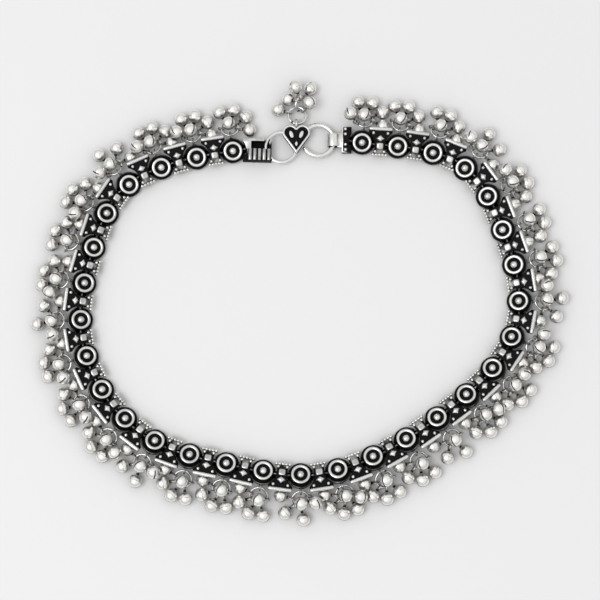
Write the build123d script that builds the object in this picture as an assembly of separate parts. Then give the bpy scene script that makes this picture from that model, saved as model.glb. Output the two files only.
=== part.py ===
from build123d import *
from math import atan2, cos, degrees, radians, sin, sqrt
import os

# Payal anklet in oxidised silver: a flexible band of round rosette links joined by granulated
# bridge links, a fringe of ghungroo bells hung on jump rings along its outer edge, and an S-hook
# clasp with a heart plaque that carries a drop of bells.
#
# Millimetres, +Z up. The anklet lies on its back on a flat surface, fastened, as a whole loop.
# The clasp is at +Y. Links are numbered clockwise from the clasp's right side, seen from above.
# The origin is under the middle of the loop's box, on the surface that it lies on.
#
# In a link's own frame +X runs along the band, +Y points out of the loop to the fringe, and +Z
# is the decorated face.

# ---- the band ----
ROSETTE_COUNT = 31
PITCH = 7.96  # rosette centre to rosette centre, pulled out
CLOSE_PITCH = 7.76  # pushed together, just right of the clasp
CLOSE_COUNT = 3
HINGE_PITCH = 7.88  # with the hinges' eyes half way through each other
LEAN = 15.0  # degrees: the fringe props the band's outer edge up
PIVOT_HEIGHT = 1.28  # the hinge line between links, above the surface

# Bends of the line through the rosettes' middles, clockwise from the clasp's right side.
# columns: x, y
BENDS = (
    (13.4, 35.0),
    (20.8, 34.2),
    (27.8, 33.0),
    (34.5, 30.2),
    (39.5, 24.9),
    (43.2, 17.0),
    (46.4, 6.0),
    (46.3, -4.4),
    (41.6, -13.6),
    (30.8, -23.6),
    (16.6, -32.6),
    (1.4, -36.9),
    (-14.6, -34.8),
    (-30.4, -30.0),
    (-41.6, -19.8),
    (-46.8, -6.0),
    (-44.6, 11.4),
    (-37.6, 25.2),
    (-30.8, 29.2),
    (-22.6, 31.7),
    (-14.2, 33.2),
)

# ---- rosette link: a round boss with a raised rim and a centre bead ----
ROSETTE_RADIUS = 2.12
ROSETTE_HEIGHT = 1.55  # the ground between rim and centre bead
RIM_WIDTH = 0.74
RIM_RISE = 0.62
CENTRE_BEAD_RADIUS = 0.82
CENTRE_BEAD_RISE = 1.0  # the bead's top above the ground
FLANGE_RADIUS = 2.75  # the step round the boss, under the bridges' decks
FLANGE_BOTTOM = 0.2
FLANGE_TOP = 1.1
SHELF_REACH = 2.75  # a thin shelf under each hinge
SHELF_HALF = 0.9
SHELF_THICKNESS = 0.22

# ---- hinge eyes: the rosette's stand upright, the bridge's lie flat, and they interlock ----
EYE_RADIUS = 0.66
EYE_WIRE = 0.17
EYE_RISE = 0.60  # the hinge line above a link's base
HINGE_REACH = ROSETTE_RADIUS + 0.45 + EYE_RADIUS / 2  # rosette centre to hinge line
BRIDGE_REACH = HINGE_PITCH / 2 - HINGE_REACH  # bridge centre to hinge line

# ---- bridge link: a plate with hollowed ends between two rosettes ----
BRIDGE_HALF_LENGTH = 2.55
BAND_INNER = -2.05
BAND_OUTER = 3.2
ROSETTE_GAP = 0.7
INNER_EASE = -0.75  # the hollows open out towards the inner edge, for tight bends
DECK_BOTTOM = 1.56
DECK_TOP = 1.88
HINGE_SLOT_HALF = 1.0  # room for the upright eyes under the deck
KEEL_HALF = 0.2
UNDERCUT_GAP = 1.15  # the walls under the deck stand further from the rosettes
WALL_OUTER = 1.5  # the deck overhangs the walls towards the fringe
GRANULE_RADIUS = 0.36
# columns: along, across
GRANULES = ((-0.95, -1.5), (0.95, -1.5), (-1.55, 2.45), (1.55, 2.45))
LOZENGE = (1.75, 1.45, 0.48)  # along, across, rise
LOZENGE_ACROSS = 1.3
BLOCK = (1.40, 1.35, 0.42)  # along, across, rise
BLOCK_ACROSS = -0.3
EDGE_BAR_RADIUS = 0.42
EDGE_BAR_LENGTH = 5.3
EDGE_BAR_ACROSS = 3.35
EDGE_BEAD_RADIUS = 0.40
EDGE_BEAD_STEP = 0.7
EDGE_BEAD_COUNT = 5
EDGE_BEAD_ACROSS = -2.2
EDGE_RISE = 1.7  # the bar's and the beads' middle above the base

# ---- fringe: a jump ring under each rosette, with four or five bells on it ----
LUG_RADIUS = 0.60
LUG_WIRE = 0.20
LUG_ACROSS = ROSETTE_RADIUS + 1.28
LUG_STEM = 0.8  # the bar from the boss to the lug, square
LUG_RISE = 0.62
RING_RADIUS = 1.8
RING_WIRE = 0.22
RING_FAR_HEIGHT = 0.95  # the ring's outer end above the surface
BALL_RADIUS = 1.44
BELL_LOOP_RADIUS = 0.64
BELL_LOOP_WIRE = 0.17
BELL_NECK = 0.36
BELL_HANG = 0.05  # the ring's wire stands this far off the middle of the bell's loop
BELL_REACH = BELL_HANG + BELL_LOOP_RADIUS + BELL_NECK + BALL_RADIUS
ON_FLOOR = BALL_RADIUS + 0.02

# How the bells of a bunch lie. The bunches take these four ways in turn.
# seat: where the bell sits on the ring, degrees from its outer end towards +X
# heading: which way it points, degrees from straight out towards +X; height: its ball's middle
# columns: seat, heading, height
BUNCHES = (
    ((100, 106, ON_FLOOR), (60, 62, ON_FLOOR), (15, 22, ON_FLOOR), (-26, -23, ON_FLOOR), (-82, 72, 3.35)),
    ((98, 106, ON_FLOOR), (59, 61, ON_FLOOR), (14, 21, ON_FLOOR), (-26, -24, ON_FLOOR), (-78, 84, 3.40)),
    ((100, 106, ON_FLOOR), (61, 61, ON_FLOOR), (16, 20, ON_FLOOR), (-26, -23, ON_FLOOR), (-84, 76, 3.30)),
    ((98, 104, ON_FLOOR), (50, 48, ON_FLOOR), (-8, -10, ON_FLOOR), (-80, 76, 3.35)),
)
RING_SWINGS = (-4, 3, 3, -2, 0, 4, -5)  # degrees that the rings turn about their lugs, in turn

# ---- clasp: a closed ring, a heart plaque and an open hook, soldered in a row ----
CLASP_HEIGHT = PIVOT_HEIGHT  # the clasp wires' middle above the surface
HEART_CENTRE = (-0.83, 35.5)
HEART_LOBE_RADIUS = 1.62
HEART_LOBE_ACROSS = 1.34
HEART_LOBE_UP = 1.5
HEART_TIP_DOWN = 3.1
HEART_BACK = 0.95
HEART_FRONT = 2.3
HEART_RIM = 0.46
HEART_RECESS = 0.5
HEART_LEAF = (0.46, 0.95)  # half width, half length
HEART_LEAF_AT = (1.08, 1.1)  # one in each lobe
HEART_LEAF_TURN = 20  # degrees
HEART_PIP = (0.5, 0.5)  # half width, half height
HEART_PIP_DOWN = 1.0
HEART_RELIEF = 0.48  # the leaves' and the pip's rise
CLOSED_RING_CENTRE = (-4.1, 33.9)
CLOSED_RING_RADIUS = 3.3
CLOSED_RING_WIRE = 0.44
HOOK_CENTRE = (3.9, 35.4)
HOOK_RADIUS = 3.4
HOOK_WIRE = 0.53
HOOK_TIP = -147.0  # degrees, beside the heart's point
HOOK_FOOT = 138.0  # degrees, soldered under the heart's lobe
DROP_EYE_RADIUS = 0.8
DROP_EYE_WIRE = 0.26
DROP_EYE_UP = 3.55
DROP_STEM = (0.56, 1.2)  # square section, length

# ---- hook's bail: a tube round the hook's wire, a tongue, and a plate beside the first rosette ----
TUBE_OUTER = 1.25
TUBE_INNER = 0.98
TUBE_LENGTH = 2.7
TONGUE_HALF = 1.55
TONGUE_TOP = 0.55
END_PLATE_HALF = 2.75
END_PLATE_LENGTH = 1.5
PLATE_BACK = -0.6  # both bails' plates start behind the hinge line, beside the rosette
PLATE_BOTTOM = -0.6
TONGUE_BOTTOM = -0.4
END_GRANULES_ACROSS = (-2.25, -1.15, 1.15, 2.25)

# ---- closed ring's bail: a box with a tunnel for the closed ring's wire and an open slot over it ----
BOX_LENGTH = 5.5
BOX_INNER, BOX_OUTER = -2.75, 2.05
BOX_BOTTOM, BOX_TOP = -1.18, 1.2
BOX_FLOOR = 0.3
BOX_BODY = 1.9  # the solid part beside the rosette
SLOT_INNER, SLOT_OUTER = -0.2, 1.55
POST_START = 5.0  # the part inside the closed ring
RIB_COUNT = 5
RIB_RADIUS = 0.46
RIB_START, RIB_END = 0.95, 5.0
WIRE_ROOM = 0.14  # round the closed ring's wire
SLOT_START = 1.1
BAIL_HOLLOW = FLANGE_RADIUS + 0.2
EYE_ROOM = 0.25  # round the rosette's upright eye

# ---- the drop above the heart: two rings and a bunch of bells ----
DROP_RING_RADIUS = 1.9
DROP_RING_WIRE = 0.27
DROP_RING_HEADING = 84.0
DROP_RING_SLOPE = -5.0
DROP_LINK_RADIUS = 1.55
DROP_LINK_WIRE = 0.26
DROP_LINK_SEAT = -6.0
DROP_LINK_HEADING = 72.0
DROP_LINK_SLOPE = 10.0
DROP_LINK_ROLL = 55.0
# columns: seat, heading, height
DROP_RING_BELLS = ((78, 164, ON_FLOOR), (-48, 50, 3.2))
DROP_LINK_BELLS = ((-18, 56, ON_FLOOR), (42, 110, 3.3), (80, 156, ON_FLOOR))

UP = Vector(0, 0, 1)


def rosette_middles():
    """The rosettes' middles, and the way the band runs at each."""
    curve = Spline(*BENDS)
    at = 0.0
    middles = [(curve @ at, curve % at)]
    for step in range(ROSETTE_COUNT - 1):
        spacing = CLOSE_PITCH if step < CLOSE_COUNT else PITCH
        low, high = at, min(at + 0.08, 1.0)
        for _ in range(40):
            trial = (low + high) / 2
            if (curve @ trial - middles[-1][0]).length < spacing:
                low = trial
            else:
                high = trial
        at = low
        middles.append((curve @ at, curve % at))
    return middles


def link_place(middle, along):
    """Where a link's base frame stands: leaning out, with its hinge line at the pivot height."""
    level = Plane(origin=middle + UP * PIVOT_HEIGHT, x_dir=along, z_dir=UP).location
    return level * Location((0, 0, 0), (LEAN, 0, 0)) * Location((0, 0, -EYE_RISE))


def fused(*pieces):
    """Soldered or cast metal: one solid."""
    whole = pieces[0]
    for piece in pieces[1:]:
        whole = whole + piece
    return whole.solid()


def upright_eye(radius, wire, x, y, z):
    """An eye whose hole runs along Y."""
    return Location((x, y, z), (90, 0, 0)) * Torus(radius, wire)


def rosette_link():
    ground, rim_top = ROSETTE_HEIGHT, ROSETTE_HEIGHT + RIM_RISE
    rim_inner = ROSETTE_RADIUS - RIM_WIDTH
    bead_middle = ground + CENTRE_BEAD_RISE - CENTRE_BEAD_RADIUS
    bead_foot = sqrt(CENTRE_BEAD_RADIUS**2 - (bead_middle - ground) ** 2)
    shoulder = rim_top - RIM_WIDTH / 2
    wall = Polyline(
        (bead_foot, 0, ground),
        (rim_inner, 0, ground),
        (rim_inner, 0, shoulder),
    )
    rim = ThreePointArc(
        (rim_inner, 0, shoulder),
        ((rim_inner + ROSETTE_RADIUS) / 2, 0, rim_top),
        (ROSETTE_RADIUS, 0, shoulder),
    )
    base = Polyline(
        (ROSETTE_RADIUS, 0, shoulder),
        (ROSETTE_RADIUS, 0, 0),
        (0, 0, 0),
        (0, 0, ground + CENTRE_BEAD_RISE),
    )
    bead = ThreePointArc(
        (0, 0, ground + CENTRE_BEAD_RISE),
        (CENTRE_BEAD_RADIUS, 0, bead_middle),
        (bead_foot, 0, ground),
    )
    boss = revolve(make_face(wall + rim + base + bead), Axis.Z)
    flange = Pos(0, 0, (FLANGE_BOTTOM + FLANGE_TOP) / 2) * Cylinder(FLANGE_RADIUS, FLANGE_TOP - FLANGE_BOTTOM)
    hinge_room = Box(FLANGE_RADIUS, 2 * HINGE_SLOT_HALF, 4 * FLANGE_TOP)
    for side in (-1, 1):
        flange -= Pos(side * (ROSETTE_RADIUS - 0.1 + FLANGE_RADIUS / 2), 0, 0) * hinge_room
    shelf = Pos(0, 0, SHELF_THICKNESS / 2) * Box(2 * SHELF_REACH, 2 * SHELF_HALF, SHELF_THICKNESS)
    eye_out = HINGE_REACH - EYE_RADIUS / 2
    eyes = [upright_eye(EYE_RADIUS, EYE_WIRE, side * eye_out, 0, EYE_RISE) for side in (-1, 1)]
    lug = Location((0, LUG_ACROSS, LUG_RISE), (0, 90, 0)) * Torus(LUG_RADIUS, LUG_WIRE)
    stem_start, stem_end = ROSETTE_RADIUS - 0.3, LUG_ACROSS - LUG_RADIUS
    stem = Box(LUG_STEM, stem_end - stem_start, LUG_STEM)
    return fused(boss, flange, shelf, *eyes, lug, Pos(0, (stem_start + stem_end) / 2, LUG_RISE) * stem)


def edge_bar():
    half = EDGE_BAR_LENGTH / 2 - EDGE_BAR_RADIUS
    bar = Location((0, EDGE_BAR_ACROSS, EDGE_RISE), (0, 90, 0)) * Cylinder(EDGE_BAR_RADIUS, 2 * half)
    ends = [Pos(side * half, EDGE_BAR_ACROSS, EDGE_RISE) * Sphere(EDGE_BAR_RADIUS) for side in (-1, 1)]
    return [bar, *ends]


def edge_beads():
    first = -EDGE_BEAD_STEP * (EDGE_BEAD_COUNT - 1) / 2
    bead = Rot(0, 0, -90) * Sphere(EDGE_BEAD_RADIUS)  # its seam faces out of the row
    return [
        Pos(first + EDGE_BEAD_STEP * k, EDGE_BEAD_ACROSS, EDGE_RISE) * bead
        for k in range(EDGE_BEAD_COUNT)
    ]


def lozenge():
    along, across, rise = LOZENGE
    outline = Polygon((along / 2, 0), (0, across / 2), (-along / 2, 0), (0, -across / 2))
    raised = extrude(outline, rise, taper=32)
    return Pos(0, LOZENGE_ACROSS, DECK_TOP) * raised


def bridge_link():
    width = BAND_OUTER - BAND_INNER
    middle = (BAND_OUTER + BAND_INNER) / 2
    body = Pos(0, middle, DECK_TOP / 2) * Box(2 * BRIDGE_HALF_LENGTH, width, DECK_TOP)
    hollow = Cylinder(ROSETTE_RADIUS + ROSETTE_GAP, 4 * DECK_TOP)
    undercut = Cylinder(ROSETTE_RADIUS + UNDERCUT_GAP, 2 * DECK_BOTTOM)
    slot_length = 2 * BRIDGE_HALF_LENGTH
    slot = Box(slot_length, 2 * HINGE_SLOT_HALF, 2 * DECK_BOTTOM)
    overhang = BAND_OUTER - WALL_OUTER
    under_deck = Box(4 * BRIDGE_HALF_LENGTH, overhang + 0.01, 2 * DECK_BOTTOM)
    body -= Pos(0, WALL_OUTER + overhang / 2, 0) * under_deck
    for side in (-1, 1):
        for across in (0, INNER_EASE):
            body -= Pos(side * HINGE_PITCH / 2, across, 0) * hollow
            body -= Pos(side * HINGE_PITCH / 2, across, 0) * undercut
        body -= Pos(side * (KEEL_HALF + slot_length / 2), 0, 0) * slot
    eye_out = BRIDGE_REACH - EYE_RADIUS / 2
    eyes = [Pos(side * eye_out, 0, EYE_RISE) * Torus(EYE_RADIUS, EYE_WIRE) for side in (-1, 1)]
    granules = [
        Pos(along, across, DECK_TOP + GRANULE_RADIUS / 3) * Sphere(GRANULE_RADIUS)
        for along, across in GRANULES
    ]
    along, across, rise = BLOCK
    block = Pos(0, BLOCK_ACROSS, DECK_TOP + rise / 2 - 0.05) * Box(along, across, rise + 0.1)
    return fused(body, *eyes, *granules, block, lozenge(), *edge_bar(), *edge_beads())


def bell():
    """A ghungroo with its loop's middle at the origin, its ball towards +X and its hole along Z."""
    ball_out = BELL_LOOP_RADIUS + BELL_NECK + BALL_RADIUS
    neck_start = BELL_LOOP_RADIUS
    neck_length = BELL_NECK + 0.3
    neck = Location((neck_start + neck_length / 2, 0, 0), (0, 90, 0)) * Cylinder(0.3, neck_length)
    return fused(Torus(BELL_LOOP_RADIUS, BELL_LOOP_WIRE), neck, Pos(ball_out, 0, 0) * Sphere(BALL_RADIUS))


class Ring:
    """A jump ring held at one point of its wire. Seats are degrees from its far end."""

    def __init__(self, held_at, heading, slope, roll, radius, wire, inset=0.0):
        level = Vector(cos(radians(heading)), sin(radians(heading)), 0)
        self.radius, self.wire = radius, wire
        self.out = (level * cos(radians(slope)) + UP * sin(radians(slope))).normalized()
        flat_side = UP.cross(level)
        lifted = self.out.cross(flat_side)
        self.side = (flat_side * cos(radians(roll)) + lifted * sin(radians(roll))).normalized()
        self.axis = self.out.cross(self.side)
        self.centre = held_at + self.out * (radius - inset)

    def seat(self, angle):
        turn = radians(angle)
        return self.centre + (self.out * cos(turn) + self.side * sin(turn)) * self.radius

    def along(self, angle):
        turn = radians(angle)
        return self.side * cos(turn) - self.out * sin(turn)

    def solid(self):
        frame = Plane(origin=self.centre, x_dir=self.out, z_dir=self.axis)
        return (frame.location * Torus(self.radius, self.wire)).solid()


def bell_place(ring, seat, heading, height):
    """Where a bell hangs on a ring, its ball's middle at the height given."""
    held = ring.seat(seat)
    rise = (height - held.Z) / BELL_REACH
    level = sqrt(1 - rise * rise)
    to_ball = Vector(level * cos(radians(heading)), level * sin(radians(heading)), rise)
    wire = ring.along(seat)
    hole = (wire - to_ball * wire.dot(to_ball)).normalized()
    return Plane(origin=held + to_ball * BELL_HANG, x_dir=to_ball, z_dir=hole).location


def fringe_ring(place, outward, swing):
    lug = (place * Location((0, LUG_ACROSS, LUG_RISE))).position
    slope = -degrees(atan2(lug.Z - RING_FAR_HEIGHT, 2 * RING_RADIUS))
    return Ring(lug, outward - swing, slope, 0, RING_RADIUS, RING_WIRE)


def heart_outline():
    """Two lobes, and a point joined to them by tangents."""
    run, fall = HEART_LOBE_ACROSS, HEART_LOBE_UP + HEART_TIP_DOWN
    tangent = sqrt(run**2 + fall**2 - HEART_LOBE_RADIUS**2)
    bearing = atan2(fall, run) - atan2(HEART_LOBE_RADIUS, tangent)
    across, up = tangent * cos(bearing), tangent * sin(bearing) - HEART_TIP_DOWN
    flanks = Polygon(
        (0, -HEART_TIP_DOWN),
        (across, up),
        (HEART_LOBE_ACROSS, HEART_LOBE_UP),
        (-HEART_LOBE_ACROSS, HEART_LOBE_UP),
        (-across, up),
        align=None,
    )
    lobe = Circle(HEART_LOBE_RADIUS)
    left, right = (Pos(side * HEART_LOBE_ACROSS, HEART_LOBE_UP) * lobe for side in (-1, 1))
    return flanks + left + right


def heart_plaque():
    """The rimmed plaque with a leaf in each lobe and a pip over its point, and the drop's eye."""
    outline = heart_outline()
    thickness = HEART_FRONT - HEART_BACK
    ground = thickness - HEART_RECESS
    plate = extrude(outline, thickness)
    plate -= Pos(0, 0, ground) * extrude(offset(outline, -HEART_RIM), HEART_RECESS)
    leaf = extrude(Ellipse(*HEART_LEAF), HEART_RELIEF)
    leaf_across, leaf_up = HEART_LEAF_AT
    leaves = [
        Location((side * leaf_across, leaf_up, ground), (0, 0, -side * HEART_LEAF_TURN)) * leaf
        for side in (-1, 1)
    ]
    across, up = HEART_PIP
    pip = extrude(Polygon((across, 0), (0, up), (-across, 0), (0, -up)), HEART_RELIEF)
    pip = Pos(0, -HEART_PIP_DOWN, ground) * pip
    eye = Location((0, DROP_EYE_UP, thickness / 2), (0, 90, 0)) * Torus(DROP_EYE_RADIUS, DROP_EYE_WIRE)
    stem_up = DROP_EYE_UP - DROP_EYE_RADIUS - DROP_EYE_WIRE
    section, length = DROP_STEM
    stem = Pos(0, stem_up, thickness / 2) * Box(section, length, section)
    whole = fused(fused(plate, *leaves, pip), fused(stem, eye))
    return Pos(*HEART_CENTRE, HEART_BACK) * whole


def heart_clasp():
    ring = Pos(*CLOSED_RING_CENTRE, CLASP_HEIGHT) * Torus(CLOSED_RING_RADIUS, CLOSED_RING_WIRE)
    section = Plane.XZ * Pos(HOOK_RADIUS, 0) * Circle(HOOK_WIRE)
    arc = revolve(section, Axis.Z, HOOK_FOOT - HOOK_TIP)
    hook = fused(arc, Pos(HOOK_RADIUS, 0, 0) * Sphere(HOOK_WIRE))
    hook = Location((*HOOK_CENTRE, CLASP_HEIGHT), (0, 0, HOOK_TIP)) * hook
    return fused(heart_plaque(), ring, hook)


def bail_frame(hinge, towards):
    """An end bail's frame: at its hinge, +X to the clasp, +Z up."""
    return Plane(origin=hinge, x_dir=towards - hinge, z_dir=UP).location


def block(x0, x1, y0, y1, z0, z1):
    return Pos((x0 + x1) / 2, (y0 + y1) / 2, (z0 + z1) / 2) * Box(x1 - x0, y1 - y0, z1 - z0)


def rosette_rooms(frame, rosette_middle):
    """What an end bail leaves free for the rosette beside it, and for its upright eye."""
    centre = (frame.inverse() * Pos(rosette_middle)).position
    round_room = Pos(centre.X, centre.Y, 0) * Cylinder(BAIL_HOLLOW, 9)
    eye_end = EYE_RADIUS / 2 + EYE_WIRE + EYE_ROOM
    eye_room = block(-2, eye_end, -HINGE_SLOT_HALF, HINGE_SLOT_HALF, -3, DECK_BOTTOM - EYE_RISE)
    return round_room, eye_room


def flat_eye():
    return Pos(EYE_RADIUS / 2, 0, 0) * Torus(EYE_RADIUS, EYE_WIRE)


def hook_bail(hinge, rosette_middle):
    """Holds the hook: the tube lies across the band, round the hook's wire."""
    sag = HOOK_RADIUS - sqrt(HOOK_RADIUS**2 - (TUBE_LENGTH / 2) ** 2)
    tube_at = Vector(HOOK_CENTRE[0] + HOOK_RADIUS - sag / 2, HOOK_CENTRE[1], hinge.Z)
    reach = (tube_at - hinge).length
    across = Location((reach, 0, 0), (90, 0, 0))
    deck_top = DECK_TOP - EYE_RISE
    plate = block(PLATE_BACK, END_PLATE_LENGTH, -END_PLATE_HALF, END_PLATE_HALF, PLATE_BOTTOM, deck_top)
    frame = bail_frame(hinge, tube_at)
    for room in rosette_rooms(frame, rosette_middle):
        plate -= room
    tongue_start, tongue_end = END_PLATE_LENGTH - 0.2, reach - TUBE_INNER
    tongue = block(tongue_start, tongue_end, -TONGUE_HALF, TONGUE_HALF, TONGUE_BOTTOM, TONGUE_TOP)
    granules = [
        Pos(END_PLATE_LENGTH / 2, across_it, deck_top + 0.1) * Sphere(GRANULE_RADIUS)
        for across_it in END_GRANULES_ACROSS
    ]
    whole = fused(plate, tongue, flat_eye(), *granules, across * Cylinder(TUBE_OUTER, TUBE_LENGTH))
    whole = (whole - across * Cylinder(TUBE_INNER, 2 * TUBE_LENGTH)).solid()
    return frame * whole


def ring_bail(hinge, rosette_middle):
    """Holds the closed ring: its wire runs over the floor, under the ribs and up out of the slot."""
    frame = bail_frame(hinge, Vector(*CLOSED_RING_CENTRE, hinge.Z) - Vector(0, 0.5, 0))
    ring_middle = (frame.inverse() * Pos(*CLOSED_RING_CENTRE, hinge.Z)).position
    body = block(PLATE_BACK, BOX_LENGTH, BOX_INNER, BOX_OUTER, BOX_BOTTOM, BOX_TOP)
    ribs = []
    for k in range(RIB_COUNT):
        at = RIB_START + (RIB_END - RIB_START) * k / (RIB_COUNT - 1)
        rib = Location((at, (BOX_INNER + SLOT_INNER) / 2, BOX_TOP), (90, 0, 0))
        ribs.append(rib * Cylinder(RIB_RADIUS, SLOT_INNER - BOX_INNER - 0.1))
    whole = fused(body, *ribs)
    whole -= block(SLOT_START, POST_START, SLOT_INNER, SLOT_OUTER, BOX_BOTTOM + BOX_FLOOR, BOX_TOP + 1)
    half = CLOSED_RING_WIRE + WIRE_ROOM
    inside, outside = CLOSED_RING_RADIUS - half, CLOSED_RING_RADIUS + half
    tunnel = Cylinder(outside, 2 * half) - Cylinder(inside, 2 * half)
    above = Cylinder(outside, 6) - Cylinder(inside, 6)
    whole -= Pos(ring_middle) * tunnel
    whole -= Pos(ring_middle) * Pos(0, 0, 3 - half) * above & block(SLOT_START, 9, SLOT_INNER, 9, -9, 9)
    for room in rosette_rooms(frame, rosette_middle):
        whole -= room
    return frame * fused(whole, flat_eye())


def drop_rings():
    """The drop's ring, held by the heart's eye, and the link that hangs on its far side."""
    eye = Vector(HEART_CENTRE[0], HEART_CENTRE[1] + DROP_EYE_UP, (HEART_BACK + HEART_FRONT) / 2)
    ring = Ring(eye, DROP_RING_HEADING, DROP_RING_SLOPE, 0, DROP_RING_RADIUS, DROP_RING_WIRE)
    on_ring = ring.seat(DROP_LINK_SEAT)
    inwards = (ring.centre - on_ring).normalized()
    held = on_ring + inwards * (DROP_RING_WIRE + DROP_LINK_WIRE + 0.3)
    link = Ring(
        held, DROP_LINK_HEADING, DROP_LINK_SLOPE, DROP_LINK_ROLL, DROP_LINK_RADIUS, DROP_LINK_WIRE
    )
    return ring, link


def anklet():
    """Every named piece, as its solids."""
    middles = rosette_middles()
    rosette, bridge, ghungroo = rosette_link(), bridge_link(), bell()
    pieces = {}
    rings, bells = [], []
    for k, (middle, along) in enumerate(middles):
        place = link_place(middle, along)
        pieces[f"rosette_{k + 1:02d}"] = [place * rosette]
        outward = degrees(atan2(along.X, -along.Y))
        ring = fringe_ring(place, outward, RING_SWINGS[k % len(RING_SWINGS)])
        rings.append(ring.solid())
        for seat, heading, height in BUNCHES[k % len(BUNCHES)]:
            bells.append(bell_place(ring, -seat, outward - heading, height) * ghungroo)
    bridges = []
    for (before, way_out), (after, way_in) in zip(middles, middles[1:]):
        start, end = before + way_out * HINGE_REACH, after - way_in * HINGE_REACH
        bridges.append(link_place((start + end) / 2, end - start) * bridge)
    pieces["bridge_links"] = bridges
    pieces["fringe_rings"] = rings
    pieces["fringe_bells"] = bells

    (first, first_along), (last, last_along) = middles[0], middles[-1]
    lift = UP * PIVOT_HEIGHT
    pieces["heart_clasp"] = [heart_clasp()]
    pieces["hook_bail"] = [hook_bail(first - first_along * HINGE_REACH + lift, first)]
    pieces["ring_bail"] = [ring_bail(last + last_along * HINGE_REACH + lift, last)]

    ring, link = drop_rings()
    pieces["drop_ring"] = [ring.solid()]
    pieces["drop_link"] = [link.solid()]
    pieces["drop_bells"] = [
        bell_place(holder, seat, heading, height) * ghungroo
        for holder, rows in ((ring, DROP_RING_BELLS), (link, DROP_LINK_BELLS))
        for seat, heading, height in rows
    ]
    return pieces


def main():
    """Sets the origin under the middle of the whole, and writes a file for each piece."""
    os.makedirs("parts", exist_ok=True)
    pieces = anklet()
    box = Compound([solid for solids in pieces.values() for solid in solids]).bounding_box()
    shift = Pos(-box.center().X, -box.center().Y, -box.min.Z)
    for name, solids in pieces.items():
        moved = [shift * solid for solid in solids]
        shape = Compound(children=moved) if len(moved) > 1 else moved[0]
        export_step(shape, f"parts/{name}.step")


if __name__ == "__main__":
    main()
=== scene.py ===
# %% [markdown]
# # A payal anklet in oxidised silver
# A payal is a flexible anklet. Round rosette links and small bridge links are hinged in a row,
# jump rings hang from the row's outer edge, and hollow bells called ghungroo hang on the rings.
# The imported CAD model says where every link, ring and bell lies. It is loaded first, and the
# finer pieces made here are set on places measured from it. Only the few bells that the fringe
# has beyond the CAD's hang by a short table of headings and heights.

from math import asin, atan2, cos, hypot, pi, radians, sin, sqrt

import bmesh
import bpy
import numpy as np
from mathutils import Matrix, Vector
from mathutils.bvhtree import BVHTree


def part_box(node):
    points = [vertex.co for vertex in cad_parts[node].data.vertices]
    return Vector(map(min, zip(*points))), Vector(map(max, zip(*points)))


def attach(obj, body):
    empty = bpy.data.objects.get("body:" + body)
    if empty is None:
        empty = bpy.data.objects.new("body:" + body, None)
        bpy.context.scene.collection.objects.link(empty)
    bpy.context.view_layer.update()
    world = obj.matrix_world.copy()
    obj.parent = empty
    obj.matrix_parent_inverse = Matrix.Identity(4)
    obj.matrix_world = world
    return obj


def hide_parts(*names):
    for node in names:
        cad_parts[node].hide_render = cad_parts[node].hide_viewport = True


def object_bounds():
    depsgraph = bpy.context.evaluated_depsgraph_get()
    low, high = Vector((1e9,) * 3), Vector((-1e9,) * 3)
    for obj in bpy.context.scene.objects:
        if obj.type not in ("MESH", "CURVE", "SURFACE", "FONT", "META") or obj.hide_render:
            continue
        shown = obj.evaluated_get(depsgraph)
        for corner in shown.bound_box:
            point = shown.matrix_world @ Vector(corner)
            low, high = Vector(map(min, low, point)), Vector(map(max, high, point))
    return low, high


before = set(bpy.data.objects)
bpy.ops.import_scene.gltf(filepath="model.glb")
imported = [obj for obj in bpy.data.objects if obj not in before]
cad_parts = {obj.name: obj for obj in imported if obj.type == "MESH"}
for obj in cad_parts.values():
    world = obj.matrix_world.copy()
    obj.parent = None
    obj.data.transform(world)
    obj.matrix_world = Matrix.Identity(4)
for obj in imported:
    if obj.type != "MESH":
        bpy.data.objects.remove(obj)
cad_low, cad_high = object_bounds()
MM = 0.001


def placed(name, data):
    """A new object, put in the scene."""
    made = bpy.data.objects.new(name, data)
    bpy.context.collection.objects.link(made)
    return made


def store(data, name, values, kind="FLOAT"):
    """Keeps a value for every point of a mesh under this name."""
    made = data.attributes.new(name, kind, "POINT")
    made.data.foreach_set("value" if kind == "FLOAT" else "vector", values)


print("CAD box in mm:", [round(v / MM, 1) for v in cad_high - cad_low])

# %% [markdown]
# ## Camera
# The anklet lies on its back, so it is looked at from almost straight above, a little from the
# side opposite the clasp. A long lens from a good distance keeps both sides of the loop the same
# size, as a product picture does. The loop fills most of the frame's width.

# %% Make the camera
VIEW_ELEVATION = radians(82)
LENS = 100.0
SENSOR = 36.0
FRAME_WIDTH = 0.128

camera = placed("camera", bpy.data.cameras.new("camera"))
camera.data.lens, camera.data.sensor_width = LENS, SENSOR
target = Vector(((cad_low.x + cad_high.x) / 2, (cad_low.y + cad_high.y) / 2, 0.002))
back = Vector((0, -cos(VIEW_ELEVATION), sin(VIEW_ELEVATION)))
distance = FRAME_WIDTH * LENS / SENSOR
camera.location = target + back * distance
camera.rotation_mode = "QUATERNION"
camera.rotation_quaternion = (-back).to_track_quat("-Z", "Y")
camera.data.clip_start, camera.data.clip_end = 0.01, 20.0
bpy.context.scene.camera = camera
bpy.context.scene.view_settings.view_transform = "Standard"
print("camera", round(distance, 3), "m away")

# %% [markdown]
# ## Node trees in a few lines
# Materials, groups and Geometry Nodes are all node trees. This small class adds a node, sets its
# sockets and links it in one call, so that a tree reads from top to bottom like a recipe. A value
# that is itself a socket is linked; anything else is set as the socket's own value.


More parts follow.
